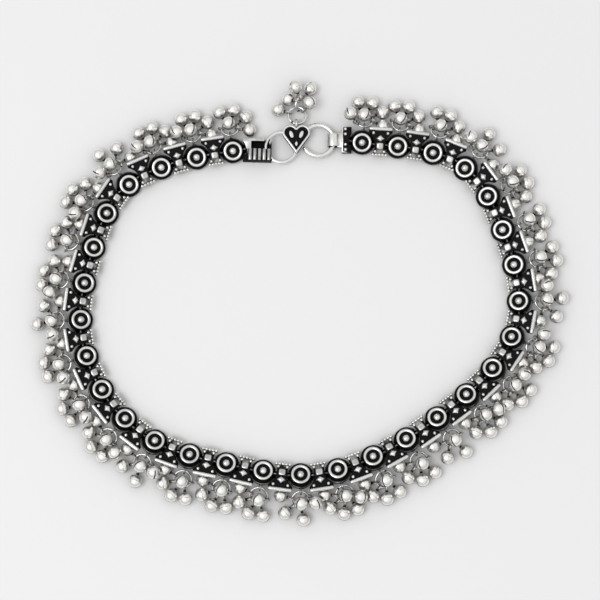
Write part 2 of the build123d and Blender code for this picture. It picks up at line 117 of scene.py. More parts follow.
# %% A helper for node trees
class Recipe:
    def __init__(self, tree):
        self.tree = tree

    def add(self, kind, inputs=None, out=0, **settings):
        node = self.tree.nodes.new(kind)
        for name, value in settings.items():
            setattr(node, name, value)
        for key, value in (inputs or {}).items():
            socket = node.inputs[key]
            if isinstance(value, bpy.types.NodeSocket):
                self.tree.links.new(value, socket)
            else:
                socket.default_value = value
        return node.outputs[out] if out is not None else node

    def maths(self, operation, *values):
        return self.add("ShaderNodeMath", dict(enumerate(values)), operation=operation)

    def smooth(self, value, start, end):
        """0 before start and 1 after end, with a soft turn between them."""
        settings = {"Value": value, "From Min": start, "From Max": end}
        return self.add("ShaderNodeMapRange", settings, interpolation_type="SMOOTHSTEP")

    def mixed(self, factor, first, second):
        sockets = {0: factor, 6: first, 7: second}
        return self.add("ShaderNodeMix", sockets, out=2, data_type="RGBA")


def sockets(tree, direction, rows):
    """Named sockets on a group. rows: (name, kind, default)."""
    made = {}
    for name, kind, default in rows:
        socket = tree.interface.new_socket(name, in_out=direction, socket_type=f"NodeSocket{kind}")
        if default is not None:
            socket.default_value = default
        made[name] = socket.identifier
    return made


print("helpers ready")

# %% [markdown]
# ## Finish: oxidised silver
# The silver is blackened all over with a sulphur bath and then buffed. The buff only reaches what
# stands proud, so recesses stay black and rims, granules and beads turn bright. Each piece carries
# an attribute, `recess`, that is 1 where a buff can't reach and 0 on its high spots. One shader
# group turns it into colour and roughness, with patches of uneven tarnish, so every finish ages
# in the same way. A second group adds the fine marks of handling.

# %% The two effects that the finishes share
tarnish = bpy.data.node_groups.new("tarnish left by buffing", "ShaderNodeTree")
sockets(
    tarnish,
    "INPUT",
    (
        ("Recess And Painted Shade", "Float", 0.0),
        ("Tone", "Float", 0.5),
        ("Bright", "Color", (0.9, 0.9, 0.88, 1)),
        ("Film", "Color", (0.5, 0.49, 0.47, 1)),
        ("Black", "Color", (0.02, 0.02, 0.021, 1)),
        ("Film Amount", "Float", 0.3),
        ("Polish", "Float", 0.18),
    ),
)
sockets(tarnish, "OUTPUT", (("Color", "Color", None), ("Roughness", "Float", None)))
r = Recipe(tarnish)
given = r.add("NodeGroupInput", out=None).outputs
place = r.add("ShaderNodeTexCoord", out=3)
patches = r.add("ShaderNodeTexNoise", {"Vector": place, "Scale": 700.0, "Detail": 3.0})
grain = r.add("ShaderNodeTexNoise", {"Vector": place, "Scale": 5200.0, "Detail": 2.0})
uneven = r.maths("MULTIPLY_ADD", r.maths("SUBTRACT", patches, 0.5), 0.5, given["Recess And Painted Shade"])
black = r.smooth(uneven, 0.42, 0.68)
toned = r.maths("MULTIPLY_ADD", given["Tone"], 0.6, r.maths("MULTIPLY", patches, 0.9))
half_buffed = r.maths("MULTIPLY", r.smooth(uneven, 0.08, 0.5), 0.85)
film = r.maths("MAXIMUM", r.maths("MULTIPLY", toned, given["Film Amount"]), half_buffed)
buffed = r.mixed(film, given["Bright"], given["Film"])
colour = r.mixed(black, buffed, given["Black"])
polished = r.maths("MULTIPLY_ADD", grain, 0.12, given["Polish"])
rough = r.maths("MULTIPLY_ADD", black, 0.3, r.maths("MULTIPLY_ADD", film, 0.12, polished))
r.add("NodeGroupOutput", {"Color": colour, "Roughness": rough}, out=None)

handling = bpy.data.node_groups.new("marks of handling", "ShaderNodeTree")
sockets(handling, "INPUT", (("Scratches", "Float", 0.5), ("Dimples", "Float", 0.5)))
sockets(handling, "OUTPUT", (("Height", "Float", None),))
r = Recipe(handling)
given = r.add("NodeGroupInput", out=None).outputs
place = r.add("ShaderNodeTexCoord", out=3)
drawn_out = r.add("ShaderNodeMapping", {"Vector": place, "Rotation": (0.3, 0.2, 0.9), "Scale": (1, 9, 4)})
lines = r.add("ShaderNodeTexNoise", {"Vector": drawn_out, "Scale": 900.0, "Detail": 4.0})
dents = r.add("ShaderNodeTexNoise", {"Vector": place, "Scale": 1500.0, "Detail": 1.0})
scratched = r.maths("MULTIPLY", lines, given["Scratches"])
dimpled = r.maths("MULTIPLY", dents, given["Dimples"])
height = r.maths("ADD", scratched, dimpled)
r.add("NodeGroupOutput", {"Height": height}, out=None)
print("groups:", tarnish.name, "and", handling.name)


# %% [markdown]
# ## Three finishes
# The links are the blackest: cast, with deep recesses. The jump rings and the clasp's wire are
# drawn wire, so they are bright nearly all over. The bells are pressed from sheet and boiled
# white: a paler, softer shine, with a black slit at the bottom and a fine seam round the middle.
# Every finish is also made darker and duller on faces that point down, the rings and bells most: painted
# shade, which puts dark edges round the balls as seen from above.
# The slit and the seam are drawn from `own`, each bell's coordinates in its own frame.


# %% Make the finishes
BELL_MIDDLE = 2.44  # the ball's middle from its loop's middle, in mm
SULPHIDE_BLACK = (0.014, 0.014, 0.015, 1)
# each dark line fades between two distances in mm: from the slit's middle, the ball's and the seam's
SLIT_SIDE, SLIT_END, SEAM_SIDE = (0.09, 0.17), (0.62, 0.78), (0.03, 0.08)


def finish(name, bright, film, film_amount, polish=0.18, painted_shade_below=0.4, bell=False):
    material = bpy.data.materials.new(name)
    material.use_nodes = True
    r = Recipe(material.node_tree)
    surface = material.node_tree.nodes["Principled BSDF"]
    surface.inputs["Metallic"].default_value = 1.0
    recess = r.add("ShaderNodeAttribute", out=2, attribute_name="recess")
    tone = r.add("ShaderNodeAttribute", out=2, attribute_name="tone")
    # painted shade: from here the recess also darkens every face that points down, besides the patina in the
    # hollows
    facing_up = r.add("ShaderNodeSeparateXYZ", {0: r.add("ShaderNodeNewGeometry", out=1)}, out=2)
    under = r.maths("MULTIPLY", r.maths("SUBTRACT", 1.0, r.smooth(facing_up, 0.0, 0.5)), painted_shade_below)
    recess = r.maths("MAXIMUM", recess, under)
    if bell:
        own = r.add("ShaderNodeAttribute", out=1, attribute_name="own")
        parts = r.add("ShaderNodeSeparateXYZ", {0: own}, out=None).outputs
        beside_slit = r.maths("SUBTRACT", 1.0, r.smooth(r.maths("ABSOLUTE", parts[1]), *SLIT_SIDE))
        low_down = r.smooth(parts[0], *(BELL_MIDDLE + end for end in SLIT_END))
        from_seam = r.maths("ABSOLUTE", r.maths("SUBTRACT", parts[0], BELL_MIDDLE))
        off_seam = r.smooth(from_seam, *SEAM_SIDE)
        seam = r.maths("MULTIPLY", r.maths("SUBTRACT", 1.0, off_seam), 0.5)
        slit = r.maths("MULTIPLY", beside_slit, low_down)
        recess = r.maths("MAXIMUM", r.maths("MAXIMUM", recess, seam), slit)
    values = {
        "Recess And Painted Shade": recess,
        "Tone": tone,
        "Bright": bright,
        "Film": film,
        "Black": SULPHIDE_BLACK,
        "Film Amount": film_amount,
        "Polish": polish,
    }
    aged = r.add("ShaderNodeGroup", values, out=None, node_tree=tarnish)
    worn = r.add("ShaderNodeGroup", {"Scratches": 0.5, "Dimples": 0.5}, node_tree=handling)
    bump = r.add("ShaderNodeBump", {"Height": worn, "Strength": 0.25, "Distance": 0.00003})
    r.tree.links.new(aged.outputs["Color"], surface.inputs["Base Color"])
    r.tree.links.new(aged.outputs["Roughness"], surface.inputs["Roughness"])
    r.tree.links.new(bump, surface.inputs["Normal"])
    return material


oxidised_silver = finish(
    "oxidised silver",
    bright=(0.88, 0.875, 0.86, 1),
    film=(0.34, 0.335, 0.325, 1),
    film_amount=0.35,
)
bright_silver = finish(
    "bright silver",
    bright=(0.93, 0.925, 0.905, 1),
    film=(0.42, 0.41, 0.39, 1),
    film_amount=0.5,
    polish=0.14,
    painted_shade_below=0.56,
)
white_silver = finish(
    "white silver",
    bright=(0.98, 0.968, 0.93, 1),
    film=(0.5, 0.49, 0.46, 1),
    film_amount=0.2,
    polish=0.24,
    painted_shade_below=0.58,
    bell=True,
)
print("finishes:", [m.name for m in (oxidised_silver, bright_silver, white_silver)])

# %% [markdown]
# ## Where everything lies
# A string of equal solids is one CAD node, and its solids follow one another in the node's mesh
# with the same number of triangles each. So the mesh is cut into equal runs, and each run is
# measured: its middle, and the directions that its shape singles out.


# %% Read the solids out of a node
def solids_of(node, count=1):
    """The triangles' corners of each solid in a node, in mm: (count, triangles, 3, 3)."""
    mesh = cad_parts[node].data
    corners = np.empty(len(mesh.vertices) * 3, np.float64)
    mesh.vertices.foreach_get("co", corners)
    mesh.calc_loop_triangles()
    index = np.empty(len(mesh.loop_triangles) * 3, np.int64)
    mesh.loop_triangles.foreach_get("vertices", index)
    return (corners.reshape(-1, 3)[index] / MM).reshape(count, -1, 3, 3)


def balance(triangles):
    """The volume's middle, and the axes of its spread, widest last."""
    signed = np.linalg.det(triangles)
    middle = (signed[:, None] * triangles.sum(1)).sum(0) / (4 * signed.sum())
    moved = triangles - middle
    signed = np.linalg.det(moved)
    total = moved.sum(1)
    spread = np.einsum("n,nki,nkj->ij", signed, moved, moved) + np.einsum("n,ni,nj->ij", signed, total, total)
    return middle, np.linalg.eigh(spread)[1].T


def unit(vector):
    return vector / np.linalg.norm(vector)


def pose(x_axis, z_axis, origin):
    """A 4 by 4 place in metres from directions and a point in mm."""
    place = Matrix.Identity(4)
    for column, axis in enumerate((x_axis, np.cross(z_axis, x_axis), z_axis)):
        for row in range(3):
            place[row][column] = float(axis[row])
    for row in range(3):
        place[row][3] = float(origin[row]) * MM
    return place


ROSETTES = sorted(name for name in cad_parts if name.startswith("rosette_"))
BRIDGES = len(ROSETTES) - 1
BUNCHES = (5, 5, 5, 4)  # bells on a ring, in turn
BELLS = sum(BUNCHES[k % len(BUNCHES)] for k in range(len(ROSETTES)))
rosette_solids = [solids_of(name)[0] for name in ROSETTES]
bridge_solids = solids_of("bridge_links", BRIDGES)
ring_solids = solids_of("fringe_rings", len(ROSETTES))
bell_solids = solids_of("fringe_bells", BELLS)
bell_box = np.ptp(bell_solids[0].reshape(-1, 3), 0)
print(len(rosette_solids), "rosettes", [round(float(v), 2) for v in bell_box], "mm: a bell's box")

# %% [markdown]
# ## The links' places
# Every link leans outwards by the same angle about the line along the band, because the fringe
# under its outer edge props it up. Its volume's axis along the band is level, which picks it out
# from the other two. Known heights and reaches of the link then give its origin.

# %% Find the links' places
LEAN = radians(15)
UP = np.array((0.0, 0.0, 1.0))
ROSETTE_TOP, ROSETTE_REACH = 2.55, 4.2  # bead's top, lug's outer side
BRIDGE_FOOT, BRIDGE_INNER = 0.0, -2.6


def link_place(triangles, top=None, foot=None, outer=None, inner=None):
    middle, axes = balance(triangles)
    along = min(axes, key=lambda axis: abs(axis[2]))
    along = unit(along - UP * along[2])
    outward = np.cross(UP, along)
    if outward @ middle < 0:
        along, outward = -along, -outward
    across = outward * cos(LEAN) + UP * sin(LEAN)
    face = UP * cos(LEAN) - outward * sin(LEAN)
    points = triangles.reshape(-1, 3)
    height = (points @ face).max() - top if top is not None else (points @ face).min() - foot
    reach = (points @ across).max() - outer if outer is not None else (points @ across).min() - inner
    origin = along * (middle @ along) + across * reach + face * height
    return pose(along, face, origin)


rosette_places = [link_place(s, top=ROSETTE_TOP, outer=ROSETTE_REACH) for s in rosette_solids]
bridge_places = [link_place(s, foot=BRIDGE_FOOT, inner=BRIDGE_INNER) for s in bridge_solids]
gaps = [(a.translation - b.translation).length / MM for a, b in zip(rosette_places, rosette_places[1:])]
print("pitch of the rosettes:", round(min(gaps), 2), "to", round(max(gaps), 2), "mm")

# %% [markdown]
# ## The rings' and bells' places
# A ring's narrowest spread is its axis. A bell's axis runs from its ball to its loop, and the
# loop is flat, so the loop's thinnest direction is the way that the ring goes through it.

# %% Find the rings' and bells' places
LOOP_FAR_SIDE = 0.81  # loop's middle to its far side
DROP_BELLS = 5


def ring_place(triangles):
    middle, axes = balance(triangles)
    return pose(axes[1], np.cross(axes[1], axes[2]), middle)


def bell_place(triangles):
    middle, _ = balance(triangles)
    points = triangles.reshape(-1, 3)
    loop = points[np.linalg.norm(points - middle, axis=1) > 2.0]
    to_ball = unit(middle - (loop.max(0) + loop.min(0)) / 2)
    for _ in range(3):
        far = (loop @ to_ball).min()
        centre = middle + to_ball * (far + LOOP_FAR_SIDE - middle @ to_ball)
        thin = np.linalg.svd(loop - loop.mean(0), full_matrices=False)[2][2]
        side = np.cross(thin, to_ball)
        reach = (loop - centre) @ side
        to_ball = unit(to_ball - side * (reach.max() + reach.min()) / 4)
        height = (loop - centre) @ thin
        to_ball = unit(to_ball - thin * (height.max() + height.min()) / 4)
    hole = unit(thin - to_ball * (thin @ to_ball))
    return pose(to_ball, hole, middle + to_ball * ((loop @ to_ball).min() + LOOP_FAR_SIDE - middle @ to_ball))


ring_places = [ring_place(s) for s in ring_solids]
bell_places = [bell_place(s) for s in bell_solids]
drop_bell_places = [bell_place(s) for s in solids_of("drop_bells", DROP_BELLS)]
drop_ring_place = ring_place(solids_of("drop_ring")[0])
drop_link_place = ring_place(solids_of("drop_link")[0])
balls = [place @ Vector((BELL_MIDDLE * MM, 0, 0)) for place in bell_places]
heights = [ball.z / MM for ball in balls]
print("bells' middles stand", round(min(heights), 2), "to", round(max(heights), 2), "mm high")

# %% [markdown]
# ## A few more bells
# The fringe is denser than the CAD can hold as loose solids. Wherever the bend of the loop leaves
# room between two bunches, one more bell hangs on the ring and lies among its neighbours. Real
# bells push each other aside, but a mesh doesn't, so a place is taken only if the bell's ball, neck
# and loop, as plain shapes, all keep a gap to the band, the clasp, the rings and every other bell.
# A BVH tree finds the nearest point of a surface quickly, which makes such a test cheap.

# %% Measure the room round a bell
BALL_RADIUS, NECK_RADIUS, LOOP_RADIUS, LOOP_WIRE = 1.44, 0.3, 0.64, 0.17
LEAST_GAP = 0.04
depsgraph = bpy.context.evaluated_depsgraph_get()
still = ["bridge_links", "fringe_bells", "fringe_rings", "heart_clasp", "hook_bail", "ring_bail"]
still += ["drop_bells", "drop_link", "drop_ring", *ROSETTES]
surfaces = [BVHTree.FromObject(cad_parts[name], depsgraph) for name in still]


def bell_samples(place):
    """Points along a bell in metres, each with the bell's thickness there in mm."""
    samples = [((BELL_MIDDLE, 0, 0), BALL_RADIUS), ((0.72, 0, 0), NECK_RADIUS), ((0.9, 0, 0), NECK_RADIUS)]
    turns = [radians(36 * k) for k in range(10)]
    samples += [((LOOP_RADIUS * cos(a), LOOP_RADIUS * sin(a), 0), LOOP_WIRE) for a in turns]
    return [(place @ (Vector(point) * MM), thickness) for point, thickness in samples]


def is_clear(samples, others):
    """Whether all samples are above the floor and clear of the CAD and of the other added bells."""
    for point, thickness in samples:
        if point.z / MM < thickness:
            return False
        for surface in surfaces:
            hit = surface.find_nearest(point, (thickness + LEAST_GAP) * MM)
            if hit[0] is not None:
                return False
    for other in others:
        for point, thickness in samples:
            for place, width in other:
                if (point - place).length / MM < thickness + width + LEAST_GAP:
                    return False
    return True


print(len(surfaces), "surfaces to keep clear of")

# %% Hang more bells where there is room
# columns: seat on the ring, heading, both in degrees from straight out, and the ball's height in mm
WAYS_TO_HANG = (
    (112, 50, 3.34),
    (104, 50, 3.34),
    (104, 60, 3.34),
    (104, 70, 3.34),
    (64, 60, 3.2),
    (56, 70, 3.2),
    (64, 70, 2.9),
    (56, 70, 2.9),
    (40, 60, 1.46),
)
RING_RADIUS, BELL_HANG = 1.8, 0.05
more_places, taken = [], []
for link, held_ring in zip(rosette_places, ring_places):
    centre = np.array(held_ring.translation) / MM
    axis = np.array(held_ring.col[2].xyz)
    away = centre - np.array(link.translation) / MM
    out = unit(away - axis * (away @ axis))
    side = unit(np.cross(UP, out))
    level_out = np.cross(side, UP)
    for seat, heading, height in WAYS_TO_HANG:
        seat, heading = radians(seat), radians(heading)
        held = centre + (out * cos(seat) + side * sin(seat)) * RING_RADIUS
        rise = (height - held[2]) / (BELL_MIDDLE + BELL_HANG)
        level = level_out * cos(heading) + side * sin(heading)
        to_ball = level * sqrt(1 - rise**2) + UP * rise
        wire_way = side * cos(seat) - out * sin(seat)
        hole = unit(wire_way - to_ball * (wire_way @ to_ball))
        place = pose(to_ball, hole, held + to_ball * BELL_HANG)
        samples = bell_samples(place)
        if is_clear(samples, taken):
            more_places.append(place)
            taken.append(samples)
print(len(more_places), "more bells")

# %% [markdown]
# ## Building one of each in plain mesh code
# A link is a handful of turned, wound and domed forms. This class gathers them in one mesh. Each
# form is a grid of points closed at its ends, and every point brings its own `recess` value,
# because whoever buffs the silver reaches a rim and not the ground beside it.


# %% A builder for small metal forms
class Form:
    def __init__(self):
        self.points, self.faces, self.recess = [], [], []

    def grid(self, rows, around=True, cap_first=False, cap_last=False):
        """Rows of (x, y, z, recess) joined by quads. A row of one point closes to a fan."""
        starts = []
        for row in rows:
            starts.append(len(self.points))
            for x, y, z, recess in row:
                self.points.append((x, y, z))
                self.recess.append(recess)
        for (a, first), (b, second) in zip(zip(starts, rows), zip(starts[1:], rows[1:])):
            n, m = len(first), len(second)
            count = max(n, m)
            for k in range(count if around else count - 1):
                j = (k + 1) % count
                quad = [a + k % n, a + j % n, b + j % m, b + k % m]
                face = [v for i, v in enumerate(quad) if v not in quad[:i]]
                if len(face) > 2:
                    self.faces.append(face)
        for wanted, start, row in ((cap_first, starts[0], rows[0]), (cap_last, starts[-1], rows[-1])):
            if wanted:
                self.faces.append([start + k for k in range(len(row))])
        return self

    def lathe(self, profile, sides, centre=(0, 0, 0), axis="Z"):
        """Turns (radius, height, recess) rows about an axis. A radius of 0 makes a pole."""
        rows = []
        for radius, height, recess in profile:
            row = []
            for k in range(sides if radius > 0 else 1):
                turn = 2 * pi * k / sides
                a, b = radius * cos(turn), radius * sin(turn)
                x, y, z = (a, b, height) if axis == "Z" else (height, a, b)
                row.append((centre[0] + x, centre[1] + y, centre[2] + z, recess))
            rows.append(row)
        return self.grid(rows)

    def ball(self, radius, centre, sides=12, rings=7, recess=lambda up: 0.0, axis="Z"):
        turns = [pi * k / rings for k in range(rings + 1)]
        ends = (0, rings)
        profile = [
            (0 if k in ends else radius * sin(t), -radius * cos(t), recess(-cos(t)))
            for k, t in enumerate(turns)
        ]
        return self.lathe(profile, sides, centre, axis)

    def wire(self, path, radius, sides=8, closed=True, recess=0.0):
        """A round wire along points. recess may be a function of the wire's own point."""
        count = len(path)
        path = [Vector(p) for p in path]
        rows = []
        normal = None
        for k, point in enumerate(path):
            before = path[(k - 1) % count] if closed or k else point
            after = path[(k + 1) % count] if closed or k < count - 1 else point
            tangent = (after - before).normalized()
            if normal is None:
                normal = tangent.orthogonal().normalized()
            normal = (normal - tangent * normal.dot(tangent)).normalized()
            other = tangent.cross(normal)
            size = radius(k / (count - 1)) if callable(radius) else radius
            row = []
            for j in range(sides):
                turn = 2 * pi * j / sides
                p = point + (normal * cos(turn) + other * sin(turn)) * size
                row.append((*p, recess(p) if callable(recess) else recess))
            rows.append(row)
        if closed:
            rows.append(rows[0])
        return self.grid(rows, cap_first=not closed, cap_last=not closed)

    def dome(self, outline, levels, centre):
        """A raised form. levels: (share of the outline, height, recess)."""
        rows = []
        for share, height, recess in levels:
            corners = outline if share > 0 else outline[:1]
            level = centre[2] + height
            rows.append([(centre[0] + x * share, centre[1] + y * share, level, recess) for x, y in corners])
        return self.grid(rows)

    def mesh(self, name, metal):
        data = bpy.data.meshes.new(name)
        data.from_pydata([Vector(p) * MM for p in self.points], [], self.faces)
        data.validate()
        store(data, "recess", self.recess)
        store(data, "own", [c for p in self.points for c in p], "FLOAT_VECTOR")
        made = placed(name, data)
        data.materials.append(metal)
        close_up(made)
        return made


def close_up(piece):
    """Joins doubled points, and turns every face outwards."""
    shape = bmesh.new()
    shape.from_mesh(piece.data)
    bmesh.ops.remove_doubles(shape, verts=shape.verts, dist=1e-6)
    bmesh.ops.recalc_face_normals(shape, faces=shape.faces)
    for face in shape.faces:
        face.smooth = True
    shape.to_mesh(piece.data)
    shape.free()


def circle(radius, count, centre=(0, 0, 0), plane="XY"):
    points = []
    for k in range(count):
        a, b = radius * cos(2 * pi * k / count), radius * sin(2 * pi * k / count)
        offset = {"XY": (a, b, 0), "XZ": (a, 0, b), "YZ": (0, a, b)}[plane]
        points.append(tuple(c + o for c, o in zip(centre, offset)))
    return points


print("form builder ready")

# %% [markdown]
# ## The rosette
# A turned boss: a half-round rim, a black groove, and a bright bead in the middle. Its section is
# a short list of radii and heights, turned about the middle. A black step runs round it under the
# bridges' plates, open at the hinges, and a thin shelf closes the band under each hinge. The shelf
# is black all over: a dark sheet standing for the shade in the gap under the hinge, painted shade.
# The upright eyes at its sides are half of the hinges, and the lug at its outer side holds the
# fringe's jump ring.

# %% Make one rosette
ROSETTE_RADIUS, GROUND, RIM_TOP, RIM_WIDTH = 2.12, 1.55, 2.17, 0.74
BEAD_RADIUS, BEAD_MIDDLE = 0.82, 1.73
EYE_RADIUS, EYE_WIRE, EYE_RISE = 0.66, 0.17, 0.60
EYE_OUT = ROSETTE_RADIUS + 0.45
LUG_OUT, LUG_RADIUS, LUG_WIRE, LUG_RISE = 3.4, 0.60, 0.20, 0.62

rim_middle, rim_half = ROSETTE_RADIUS - RIM_WIDTH / 2, RIM_WIDTH / 2
# columns: radius, height, recess
section = [(0, 0, 1), (1.9, 0, 1), (2.08, 0.06, 0.9), (2.12, 0.3, 0.8), (2.12, 0.62, 0.7)]
section += [(2.03, 0.7, 1), (2.03, 0.78, 1), (2.12, 0.86, 0.6), (2.12, 1.3, 0.6)]
section += [(2.05, 1.42, 0.95), (2.05, 1.5, 0.95)]
for k in range(9):
    turn = pi * k / 8
    dark = 0.95 * cos(turn) ** 2 if k < 4 else 0.14 + 0.6 * abs(cos(turn)) ** 3
    section.append((rim_middle + rim_half * cos(turn), RIM_TOP - rim_half + rim_half * sin(turn), dark))
section += [(1.36, GROUND + 0.06, 1), (1.26, GROUND, 1), (0.95, GROUND, 1), (0.82, GROUND + 0.02, 1)]
for k in range(1, 7):
    turn = pi / 2 * k / 6
    radius = BEAD_RADIUS * cos(turn) if k < 6 else 0
    section.append((radius, BEAD_MIDDLE + BEAD_RADIUS * sin(turn), max(0, 0.75 - k * 0.3)))
rosette = Form().lathe(section, 40)
STEP_RADIUS, HINGE_SLOT = 2.75, 1.0
step_section = [(2.0, 0.2, 1), (2.6, 0.2, 1), (STEP_RADIUS, 0.36, 0.8), (STEP_RADIUS, 0.96, 0.5)]
step_section += [(2.64, 1.1, 0.55), (2.5, 1.1, 0.95), (2.0, 1.1, 1)]
opening = asin(HINGE_SLOT / STEP_RADIUS)
for side in (-1, 1):
    rows = []
    for k in range(17):
        turn = side * (opening + (pi - 2 * opening) * k / 16)
        rows.append([(radius * cos(turn), radius * sin(turn), z, dark) for radius, z, dark in step_section])
    rosette.grid(rows, cap_first=True, cap_last=True)
# painted shade: the shelf is black all over and fills the gap under each hinge, where there is only shade
SHELF_REACH, SHELF_HALF, SHELF_THICK = 2.75, 0.9, 0.22
shelf = [(-SHELF_REACH, 0), (SHELF_REACH, 0), (SHELF_REACH, SHELF_THICK), (-SHELF_REACH, SHELF_THICK)]
shelf_rows = [[(x, y, z, 1.0) for x, z in shelf] for y in (-SHELF_HALF, SHELF_HALF)]
rosette.grid(shelf_rows, cap_first=True, cap_last=True)
for side in (-1, 1):
    rosette.wire(circle(EYE_RADIUS, 18, (side * EYE_OUT, 0, EYE_RISE), "XZ"), EYE_WIRE, 6, recess=0.55)
rosette.wire(circle(LUG_RADIUS, 18, (0, LUG_OUT, LUG_RISE), "YZ"), LUG_WIRE, 8, recess=0.5)
stem = [(0.4, 0.28), (0.28, 0.4), (-0.28, 0.4), (-0.4, 0.28)]
stem += [(-x, -z) for x, z in stem]
stem_rows = [[(x, y, LUG_RISE + z, 0.7) for x, z in stem] for y in (1.8, 2.3, 2.62, 2.8)]
rosette.grid(stem_rows, cap_first=True, cap_last=True)
rosette = rosette.mesh("one_rosette", oxidised_silver)
print("a rosette has", len(rosette.data.polygons), "faces")

# %% [markdown]
# ## A row of beads
# The bridge's inner edge is a row of soldered granules. Geometry Nodes make it: a line of points,
# a small ball set on each, and the balls realized. The tree has named inputs for the row's count,
# step and bead size, so one tree could edge any other link too.

# %% A Geometry Nodes tree for a row of beads
row_tree = bpy.data.node_groups.new("row of beads", "GeometryNodeTree")
row_inputs = sockets(
    row_tree,
    "INPUT",
    (
        ("Geometry", "Geometry", None),
        ("Count", "Int", 5),
        ("Step", "Float", 0.0007),
        ("Bead Radius", "Float", 0.0004),
        ("Start", "Vector", None),
        ("Metal", "Material", None),
    ),
)
sockets(row_tree, "OUTPUT", (("Geometry", "Geometry", None),))
r = Recipe(row_tree)
given = r.add("NodeGroupInput", out=None).outputs
step = r.add("ShaderNodeCombineXYZ", {"X": given["Step"]})
along = {"Count": given["Count"], "Start Location": given["Start"], "Offset": step}
line = r.add("GeometryNodeMeshLine", along)
bead = r.add("GeometryNodeMeshUVSphere", {"Segments": 12, "Rings": 7, "Radius": given["Bead Radius"]})
row = r.add("GeometryNodeInstanceOnPoints", {"Points": line, "Instance": bead})
row = r.add("GeometryNodeRealizeInstances", {0: row})
row = r.add("GeometryNodeSetShadeSmooth", {0: row})
row = r.add("GeometryNodeSetMaterial", {"Geometry": row, "Material": given["Metal"]})
r.add("NodeGroupOutput", {0: row}, out=None)


def grown(name, tree, ids, values, start=None):
    """The plain mesh that a tree makes with these inputs."""
    seed = placed(name + "_seed", start or bpy.data.meshes.new(name + "_seed"))
    modifier = seed.modifiers.new("nodes", "NODES")
    modifier.node_group = tree
    for key, value in values.items():
        modifier[ids[key]] = value
    evaluated = seed.evaluated_get(bpy.context.evaluated_depsgraph_get())
    data = bpy.data.meshes.new_from_object(evaluated)
    seed.modifiers.remove(modifier)
    bpy.data.objects.remove(seed)
    data.name = name
    return placed(name, data)


BEAD_COUNT, BEAD_STEP, EDGE_BEAD, BEAD_ACROSS, EDGE_RISE = 5, 0.7, 0.40, -2.2, 1.7
first_bead = (-BEAD_STEP * (BEAD_COUNT - 1) / 2 * MM, BEAD_ACROSS * MM, EDGE_RISE * MM)
edge_row = grown(
    "edge_row",
    row_tree,
    row_inputs,
    {
        "Count": BEAD_COUNT,
        "Step": BEAD_STEP * MM,
        "Bead Radius": EDGE_BEAD * MM,
        "Start": first_bead,
        "Metal": oxidised_silver,
    },
)
print("the edge row has", len(edge_row.data.vertices), "points")

# %% [markdown]
# ## The bridge
# A small plate between two rosettes, hollowed at both ends to let them turn. Its ground is left
# black. On it stand four granules, a bright faceted lozenge and a duller square block. A half
# round bar edges its outer side and the row of beads its inner side.

# %% Make one bridge
HALF_PITCH, HOLLOW, BAND_INNER, BAND_OUTER, HALF_LENGTH = 3.94, 2.82, -2.05, 3.2, 2.55
DECK, DECK_FOOT, KEEL, WALL_HOLLOW, WALL_OUTER = 1.88, 1.56, 0.2, 3.27, 1.5
WALL_TOP = DECK_FOOT + 0.02
HOLLOW_MIDDLES = (0.0, -0.75)  # the second opens the hollow towards the inner edge, for tight bends
RUBBED_TO, RUBBED = 0.35, 0.43  # the inner part of the plate, up to here across, is rubbed grey


def half_length(across, hollow=HOLLOW):
    """How far the plate, or a wall under it, reaches towards a rosette at this place across."""
    reach = HALF_LENGTH
    for middle in HOLLOW_MIDDLES:
        if abs(across - middle) < hollow:
            reach = min(reach, HALF_PITCH - sqrt(hollow**2 - (across - middle) ** 2))
    return max(reach, KEEL)


bridge = Form()
rows = []
for j in range(17):
    across = BAND_INNER + (BAND_OUTER - BAND_INNER) * j / 16
    reach = half_length(across)
    edge = min(reach - 0.08, reach * 0.94)
    section = [(-reach, DECK_FOOT), (-reach, DECK - 0.1), (-edge, DECK)]
    section += [(edge * k / 3, DECK) for k in (-2, -1, 0, 1, 2)]
    section += [(edge, DECK), (reach, DECK - 0.1), (reach, DECK_FOOT)]
    worn = 0.0 if across > RUBBED_TO else RUBBED  # not on the plate's own edges
    rows.append([(x, across, z, 1.0 - worn * (abs(x) < edge)) for x, z in section])
bridge.grid(rows, cap_first=True, cap_last=True)
rows = []
for across in (BAND_INNER, -1.7, -1.35, -1.0, -0.99, 0.99, 1.0, 1.25, WALL_OUTER):
    reach = half_length(across, WALL_HOLLOW) if abs(across) >= HINGE_SLOT else KEEL
    corners = ((-reach, 0), (reach, 0), (reach, WALL_TOP), (-reach, WALL_TOP))
    rows.append([(x, across, z, 0.95) for x, z in corners])
bridge.grid(rows, cap_first=True, cap_last=True)


def diamond(along, across, count=24, power=1.0):
    """A rounded diamond (power 1) or a rounded square (a high power), by one formula."""
    outline = []
    for k in range(count):
        turn = 2 * pi * k / count
        c, s = cos(turn), sin(turn)
        reach = (abs(c / along) ** power + abs(s / across) ** power) ** (-1 / power)
        outline.append((reach * c, reach * s))
    return outline


GRANULE = 0.36
GRANULES_AT = ((-0.95, -1.5), (0.95, -1.5), (-1.55, 2.45), (1.55, 2.45))
for x, y in GRANULES_AT:
    bridge.ball(GRANULE, (x, y, DECK + 0.12), 12, 6, lambda up: 0.0 if up > 0.1 else 1.0)
